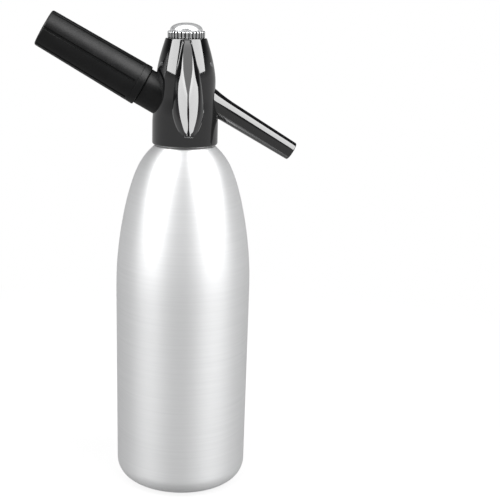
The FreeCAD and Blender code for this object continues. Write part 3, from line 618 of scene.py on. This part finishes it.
def cut_with(piece, tools):
    """Cuts a piece with each tool and removes the tools."""
    for tool in tools:
        modifier = piece.modifiers.new("cut", "BOOLEAN")
        modifier.operation = "DIFFERENCE"
        modifier.solver = "EXACT"
        modifier.object = tool
    bpy.context.view_layer.update()
    graph = bpy.context.evaluated_depsgraph_get()
    result = bpy.data.meshes.new_from_object(piece.evaluated_get(graph))
    piece.modifiers.clear()
    piece.data = result
    for tool in tools:
        bpy.data.objects.remove(tool, do_unlink=True)
    form = bmesh.new()
    form.from_mesh(result)
    limit = math.radians(CUT_SHARP_ANGLE)
    for face in form.faces:
        face.smooth = True
    for edge in form.edges:
        edge.smooth = len(edge.link_faces) != 2 or edge.calc_face_angle(0.0) < limit
    form.to_mesh(result)
    form.free()


def trim_inside_head(piece):
    """Cuts off what lies inside the head's outside surface."""
    sunk, segments = 0.1, 160
    profile = [(0.0, HEAD_BOTTOM_MM)] + head_side_profile() + [(0.0, HEAD_TOP_MM)]
    rings = [
        circle(max(radius - sunk, 0.0) * MM, height * MM, segments) for radius, height in profile
    ]
    form = bmesh.new()
    ring_surface(form, rings, closed_ends=False)
    bmesh.ops.remove_doubles(form, verts=form.verts, dist=MERGE_DISTANCE)
    cut_with(piece, [tool_object(form)])


# Cap

def build_cap_ring():
    """The fluted screw ring, with shade painted dark down in its flutes."""
    base, top, radius_at_rim = 300.1, 304.5, 12.0
    teeth, per_tooth, sharp_angle = 30, 18, 50.0
    depth, flute_sharpness, fluted_from = 1.0 * MM, 1.3, 11.2 * MM
    evenness, unevenness = 0.82, 0.18
    coarse_waves, coarse_offset, slow_waves = 7.0, 1.3, 3.0
    shade_from, shade_to = 11.0 * MM, 11.68 * MM
    level_step = 0.55

    def knurl(angle, radius, height):
        if radius < fluted_from:
            return radius
        wave = abs(math.sin(angle * teeth / 2))
        swell = math.sin(angle * coarse_waves + coarse_offset) * math.sin(angle * slow_waves)
        uneven = evenness + unevenness * swell
        return radius - depth * uneven * (1 - wave) ** flute_sharpness

    outside = [(8.55, base), (11.3, base), (11.75, base + 0.15), (radius_at_rim, base + 0.55)]
    outside += [(radius_at_rim, base + share * level_step) for share in range(2, 7)]
    outside += [(radius_at_rim, top - 0.55), (11.75, top - 0.15), (11.3, top), (10.6, top)]
    outside += [(7.2, top)]
    inside = [(8.55, base), (8.55, 294.3), (6.35, 294.3), (6.35, 303.0), (7.15, 303.0), (7.15, top)]
    ring = new_object("cap_knurled_ring", "valve_cap")
    turned(ring, outside + inside[::-1], teeth * per_tooth, sharp_angle, None, knurl)
    ring.data.materials.append(CHROME)
    ring.data.materials.append(FLUTE_SHADE)
    # Faces down in the flutes get the painted shade
    for face in ring.data.polygons:
        reach = face.center.to_2d().length
        if shade_from < reach < shade_to and base < face.center.z / MM < top:
            face.material_index = 1
    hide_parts("cap_ring")


def build_cap_dome():
    """The polished dome on top of the ring."""
    base, rim, radius, crown = 304.55, 305.2, 10.4, 309.75
    bevel, plug_radius, plug_foot = 0.3, 7.1, 303.1
    arc_steps, fullness = 20, 0.9
    segments, sharp_angle = 128, 40.0
    profile = [(plug_radius, base), (radius - bevel, base), (radius, base + bevel)]
    for step in range(arc_steps + 1):
        angle = math.pi / 2 * step / arc_steps
        height = rim + (crown - rim) * math.sin(angle)
        profile.append((radius * math.cos(angle) ** fullness, height))
    profile[-1] = (0.0, crown)
    profile += [(0.0, plug_foot), (plug_radius, plug_foot), (plug_radius, base)]
    dome = new_object("cap_polished_dome", "valve_cap")
    turned(dome, profile, segments, sharp_angle)
    dome.data.materials.append(DOME)
    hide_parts("cap_dome")


# Spout

def build_spout():
    """The glossy tapered spout with its flared root and its stepped mouth."""
    length, taper_start, root, tip, bore = 82.0, 15.0, 7.4, 6.1, 4.6
    lip_round, lip_steps, mouth_round, mouth_steps = 0.8, 6, 0.25, 3
    segments, sharp_angle = 128, 38.0
    flare = [(8.6, 17.0), (8.3, 19.5), (7.95, 21.5), (7.7, 23.5), (7.5, 25.6), (7.3, 28.0)]
    slope = (root - tip) / (length - taper_start)
    stations = (32.0, 40.0, 50.0, 60.0, 70.0, 78.0)
    run = [(root - slope * (at - taper_start), at) for at in stations]
    lip = rounded((tip, length), (tip + 0.02, 78.0), (bore, length), lip_round, lip_steps)
    mouth = rounded((4.62, length), (5.4, length), (bore, 80.0), mouth_round, mouth_steps)
    inside = [(bore, 79.0), (bore, 60.0), (bore, 40.0), (bore, 17.0), flare[0]]
    piece = new_object("spout_tube", "head")
    turned(piece, flare + run + lip + mouth + inside, segments, sharp_angle, SPOUT_PLACE)
    trim_inside_head(piece)
    piece.data.materials.append(GLOSS)
    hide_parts("spout")


# Charger holder

def build_grip():
    """The grooved matte sleeve that the hand turns."""
    near, far, start, end = 13.6, 12.4, 32.06, 104.85
    bore, end_wall, near_edge = 11.0, 1.25, 12.6
    near_round, near_steps, far_round, far_steps = 0.9, 5, 1.5, 6
    seam_offsets, seam_depths = (4.6, 4.75, 4.95, 5.1), (0.0, 0.16, 0.16, 0.0)
    groove_start, grooves, depth, half_width = 38.5, 6, 0.85, 0.72
    wall_outset, wall_width, grooved_from = 0.22, 0.3, 11.4 * MM
    groove_end_inset, groove_stations = 1.2, 16
    per_groove, sharp_angle = 90, 38.0
    turn = math.radians(94.0)
    step_width = 0.01

    def grooved(angle, radius, height):
        at = height / MM
        if radius < grooved_from or at < groove_start:
            return radius
        spacing = 2 * math.pi / grooves
        off = (angle - turn + spacing / 2) % spacing - spacing / 2
        side = abs(off) * radius / MM
        wall = min(max((half_width + wall_outset - side) / wall_width, 0.0), 1.0)
        wall = wall * wall * (3 - 2 * wall)
        return radius - depth * wall * MM

    slope = (near - far) / (end - start)
    outside = [(bore, start), (near_edge, start)]
    outside += rounded((near, start), (near_edge, start), (near, start + 2), near_round, near_steps)
    for offset, inset in zip(seam_offsets, seam_depths):
        at = start + offset
        outside.append((near - slope * (at - start) - inset, at))
    run = end - groove_end_inset - groove_start
    stations = [groove_start - step_width, groove_start + step_width]
    stations += [
        groove_start + run * share / groove_stations for share in range(1, groove_stations + 1)
    ]
    outside += [(near - slope * (at - start), at) for at in stations]
    outside += rounded((far, end), (far + 0.02, end - 2), (far - 2, end), far_round, far_steps)
    outside += [(9.0, end), (0.0, end)]
    inside = [(0.0, end - end_wall), (bore, end - end_wall), (bore, start)]
    piece = new_object("grip_body", "charger_grip")
    turned(piece, outside + inside, grooves * per_groove, sharp_angle, HOLDER_PLACE, grooved)
    piece.data.materials.append(MATTE)
    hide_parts("grip_sleeve")


# Lever

def lever_stations():
    """Outer and inner point, half width, crown half width and roundness, from top to tip.

    The points are (y, z) from the pivot.
    """
    samples = 8
    outer = [
        (-8.6, 15.4), (-13.8, 12.3), (-19.2, 7.2), (-25.4, 0.6), (-31.5, -6.3),
        (-37.1, -13.6), (-42.2, -21.6), (-46.5, -29.4), (-50.0, -35.7), (-51.0, -38.9),
    ]
    inner = [
        (-6.4, 15.2), (-8.2, 7.4), (-11.2, 1.0), (-20.0, -2.5), (-24.4, -8.0),
        (-28.4, -14.6), (-31.6, -21.6), (-34.3, -28.0), (-40.4, -35.6), (-49.4, -40.0),
    ]
    half = [3.0, 4.4, 5.7, 7.0, 7.9, 8.7, 9.3, 9.4, 6.8, 2.8]
    crown = [2.6, 3.4, 4.6, 5.7, 6.3, 6.5, 6.0, 4.8, 2.9, 1.7]
    roundness = [5.0, 5.0, 4.0, 3.0, 2.1, 1.65, 1.4, 1.3, 1.4, 2.0]
    points = zip(spline(outer, samples), spline(inner, samples))
    widths = spline(list(zip(half, crown, roundness)), samples)
    return [(*pair, *width) for pair, width in zip(points, widths)]


def lever_ring(outer, inner, half, crown, roundness):
    """The section at one station: a crowned face, flared skirts and a hollowed back."""
    crown_steps, skirt_steps, skirt_flare = 9, 4, 0.8
    face_share, face_limit, skirt_share = 0.42, 0.4, 0.78
    edge_width, edge_drop = crown * 1.03, 1.1
    rim_width, rim_share, back_widths = 0.985, 0.14, (0.90, 0.6, 0.25)
    down = inner - outer
    depth = down.length
    inward = down / depth
    face_drop = min(face_share * crown, face_limit * depth)
    skirt_top, skirt_foot = face_drop * edge_drop, skirt_share * depth

    def point(x, drop):
        place = outer + inward * drop
        return Vector((x, place.x, place.y)) * MM + PIVOT

    right = []
    for step in range(crown_steps + 1):
        share = step / crown_steps
        right.append((crown * share, face_drop * share ** roundness))
    right.append((edge_width, skirt_top))
    for step in range(1, skirt_steps + 1):
        share = step / skirt_steps
        x = edge_width + (half - edge_width) * share ** skirt_flare
        right.append((x, skirt_top + (skirt_foot - skirt_top) * share))
    right.append((half * rim_width, skirt_foot + rim_share * depth))
    right += [(half * width, depth) for width in back_widths]
    left = [(-x, drop) for x, drop in right[:0:-1]]
    return [point(x, drop) for x, drop in right + left]


def build_lever_arm():
    """The squeeze lever's arched arm, blunted at its tip."""
    blunting, near_tip, sharp_angle = ((0.86, 0.2), (0.5, 0.25)), -5, 50.0
    rings = [lever_ring(*station) for station in lever_stations()]
    centres = [sum(ring, Vector()) / len(ring) for ring in (rings[near_tip], rings[-1])]
    tip = centres[1]
    onward = (tip - centres[0]).normalized()
    for shrink, reach in blunting:
        rings.append([tip + (point - tip) * shrink + onward * reach * MM for point in rings[-1]])
    form = bmesh.new()
    ring_surface(form, rings)
    arm = new_object("lever_arm", "lever")
    finish_mesh(arm, form, sharp_angle)
    arm.data.materials.append(GLOSS)
    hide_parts("lever")


def build_lever_stem():
    """The part of the lever that passes through the head's slot to the pin."""
    profile = [(0.4, 3.85), (-8.6, 6.6), (-15.6, 5.9), (-15.2, -0.7), (-8.6, -1.9), (0.4, -3.85)]
    half_width, bevel, end_share, sharp_angle = 4.2, 0.3, 0.96, 30.0
    rings = []
    for x in (-half_width, -half_width + bevel, half_width - bevel, half_width):
        shrink = end_share if abs(x) == half_width else 1.0
        rings.append([Vector((x, y * shrink, z * shrink)) * MM + PIVOT for y, z in profile])
    form = bmesh.new()
    ring_surface(form, rings)
    stem = new_object("lever_stem", "lever")
    finish_mesh(stem, form, sharp_angle)
    stem.data.materials.append(GLOSS)


def build_lever_hub():
    """The lever's round boss about the pin."""
    outside = [(3.6, -4.2), (3.9, -3.9), (3.9, 3.9), (3.6, 4.2)]
    inside = [(PIN_BORE_MM, -4.2), (PIN_BORE_MM, 4.2)]
    segments, sharp_angle = 96, 38.0
    hub = new_object("lever_hub", "lever")
    turned(hub, closed_profile(outside, inside), segments, sharp_angle, PIN_PLACE)
    hub.data.materials.append(GLOSS)


# Stage, lights and camera

def floor_material():
    """Pale, and mostly white light for the camera: all of it further out, less near the siphon.

    Mirrored in the siphon it is an even grey. Other light meets a darker tone.
    """
    cloud_scale, cloud_detail, roughness = 3.0, 2.0, 0.9
    seen_dark, seen_light = (0.84, 0.84, 0.84), (0.86, 0.86, 0.86)
    lit_dark, lit_light = (0.24, 0.24, 0.24), (0.26, 0.26, 0.26)
    fade_start, fade_end, share_near, share_far = 0.12, 0.5, 0.86, 1.0
    mirrored_strength = 0.34
    material, tree, shader = new_material("pale_floor")
    path = tree.nodes.new("ShaderNodeLightPath")

    cloud = object_noise(tree, EVEN, cloud_scale, cloud_detail)
    colour = tree.nodes.new("ShaderNodeMixRGB")
    tree.links.new(path.outputs["Is Camera Ray"], colour.inputs["Fac"])
    tree.links.new(tinted(tree, cloud, lit_dark, lit_light), colour.inputs["Color1"])
    tree.links.new(tinted(tree, cloud, seen_dark, seen_light), colour.inputs["Color2"])
    tree.links.new(colour.outputs["Color"], shader.inputs["Base Color"])
    shader.inputs["Roughness"].default_value = roughness
    shader.inputs["Specular IOR Level"].default_value = 0.0

    middle = tree.nodes.new("ShaderNodeTexCoord")
    distance = tree.nodes.new("ShaderNodeVectorMath")
    distance.operation = "LENGTH"
    tree.links.new(middle.outputs["Object"], distance.inputs[0])
    fade = ranged(
        tree, distance.outputs["Value"], share_near, share_far, fade_start, fade_end
    )
    share = tree.nodes.new("ShaderNodeMath")
    share.operation = "MULTIPLY"
    tree.links.new(path.outputs["Is Camera Ray"], share.inputs[0])
    tree.links.new(fade, share.inputs[1])

    white = tree.nodes.new("ShaderNodeEmission")
    mirrored = tree.nodes.new("ShaderNodeEmission")
    mirrored.inputs["Strength"].default_value = mirrored_strength
    unseen = tree.nodes.new("ShaderNodeMixShader")
    mix = tree.nodes.new("ShaderNodeMixShader")
    output = tree.nodes["Material Output"]
    tree.links.new(path.outputs["Is Glossy Ray"], unseen.inputs["Fac"])
    tree.links.new(shader.outputs["BSDF"], unseen.inputs[1])
    tree.links.new(mirrored.outputs["Emission"], unseen.inputs[2])
    tree.links.new(share.outputs[0], mix.inputs["Fac"])
    tree.links.new(unseen.outputs["Shader"], mix.inputs[1])
    tree.links.new(white.outputs["Emission"], mix.inputs[2])
    tree.links.new(mix.outputs["Shader"], output.inputs["Surface"])
    return material


def build_floor():
    """A plain floor that keeps the siphon's shadow and reads white in the picture."""
    half, rows, level = 4.0, 12, -0.0001
    form = bmesh.new()
    bmesh.ops.create_grid(form, x_segments=rows, y_segments=rows, size=half)
    mesh = bpy.data.meshes.new("floor")
    form.to_mesh(mesh)
    form.free()
    floor = bpy.data.objects.new("floor", mesh)
    floor.location = (0, 0, level)
    bpy.context.scene.collection.objects.link(floor)
    floor.data.materials.append(floor_material())


def build_world():
    """White for the camera. For the siphon, grey low down, dark higher up and bright overhead."""
    levels_by_height = [(0.06, 0.26), (0.30, 0.02), (0.78, 0.02), (0.86, 1.0)]
    brightness = 1.3
    world = bpy.data.worlds.new("studio")
    bpy.context.scene.world = world
    world.use_nodes = True
    tree = world.node_tree
    background = tree.nodes["Background"]
    coordinates = tree.nodes.new("ShaderNodeTexCoord")
    split = tree.nodes.new("ShaderNodeSeparateXYZ")
    levels = tree.nodes.new("ShaderNodeValToRGB")
    while len(levels.color_ramp.elements) < len(levels_by_height):
        levels.color_ramp.elements.new(0.5)
    for element, (height, level) in zip(levels.color_ramp.elements, levels_by_height):
        element.position = height
        element.color = (level, level, level, 1)
    strength = tree.nodes.new("ShaderNodeMath")
    strength.operation = "MULTIPLY"
    strength.inputs[1].default_value = brightness
    tree.links.new(coordinates.outputs["Generated"], split.inputs["Vector"])
    tree.links.new(split.outputs["Z"], levels.inputs["Fac"])
    tree.links.new(levels.outputs["Color"], strength.inputs[0])
    tree.links.new(strength.outputs[0], background.inputs["Strength"])
    background.inputs["Color"].default_value = (1, 1, 1, 1)
    white = tree.nodes.new("ShaderNodeBackground")
    white.inputs["Color"].default_value = (1, 1, 1, 1)
    white.inputs["Strength"].default_value = 1.0
    path = tree.nodes.new("ShaderNodeLightPath")
    mix = tree.nodes.new("ShaderNodeMixShader")
    tree.links.new(path.outputs["Is Camera Ray"], mix.inputs["Fac"])
    tree.links.new(background.outputs["Background"], mix.inputs[1])
    tree.links.new(white.outputs["Background"], mix.inputs[2])
    tree.links.new(mix.outputs["Shader"], tree.nodes["World Output"].inputs["Surface"])


def softbox(name, azimuth, width):
    """A rectangular light that faces the head."""
    light = bpy.data.lights.new(name, "AREA")
    light.shape = "RECTANGLE"
    light.size = width
    light.size_y = LIGHT_HEIGHT
    light.energy = LIGHT_RADIANCE * math.pi * width * LIGHT_HEIGHT
    box = bpy.data.objects.new(name, light)
    across, up = math.radians(azimuth), math.radians(LIGHT_ELEVATION)
    direction = Vector((
        math.sin(across) * math.cos(up), -math.cos(across) * math.cos(up), math.sin(up)
    ))
    box.location = LIGHT_TARGET + direction * LIGHT_DISTANCE
    box.rotation_euler = direction.to_track_quat("Z", "Y").to_euler()
    bpy.context.scene.collection.objects.link(box)


def build_camera():
    """The photograph's camera, aimed down at the siphon from a little to the left."""
    camera = bpy.data.cameras.new("camera")
    camera.sensor_width = SENSOR_WIDTH
    camera.lens = FOCAL_PIXELS / PHOTO_SIZE * camera.sensor_width
    camera.shift_x = (PHOTO_SIZE / 2 - AXIS_PIXEL_X) / PHOTO_SIZE
    camera.shift_y = (AXIS_PIXEL_Y - PHOTO_SIZE / 2) / PHOTO_SIZE
    camera.clip_start = 0.01
    holder = bpy.data.objects.new("camera", camera)
    around = Matrix.Rotation(math.radians(CAMERA_AZIMUTH), 4, "Z")
    place = Matrix.Translation(Vector((0, -CAMERA_DISTANCE, CAMERA_HEIGHT)))
    aim = Euler((math.radians(90.0 - CAMERA_PITCH), 0, 0)).to_matrix().to_4x4()
    roll = Matrix.Rotation(math.radians(CAMERA_ROLL), 4, "Z")
    holder.matrix_world = around @ place @ aim @ roll
    bpy.context.scene.collection.objects.link(holder)
    bpy.context.scene.camera = holder


dress_nodes()
build_bottle()
build_neck_thread()
build_head()
build_holder_stub()
build_cap_ring()
build_cap_dome()
build_spout()
build_grip()
build_lever_arm()
build_lever_stem()
build_lever_hub()
build_floor()
build_world()
softbox("left_box", azimuth=-64.0, width=0.95)
softbox("right_box", azimuth=58.0, width=1.1)
build_camera()
bpy.context.scene.view_settings.view_transform = "Standard"

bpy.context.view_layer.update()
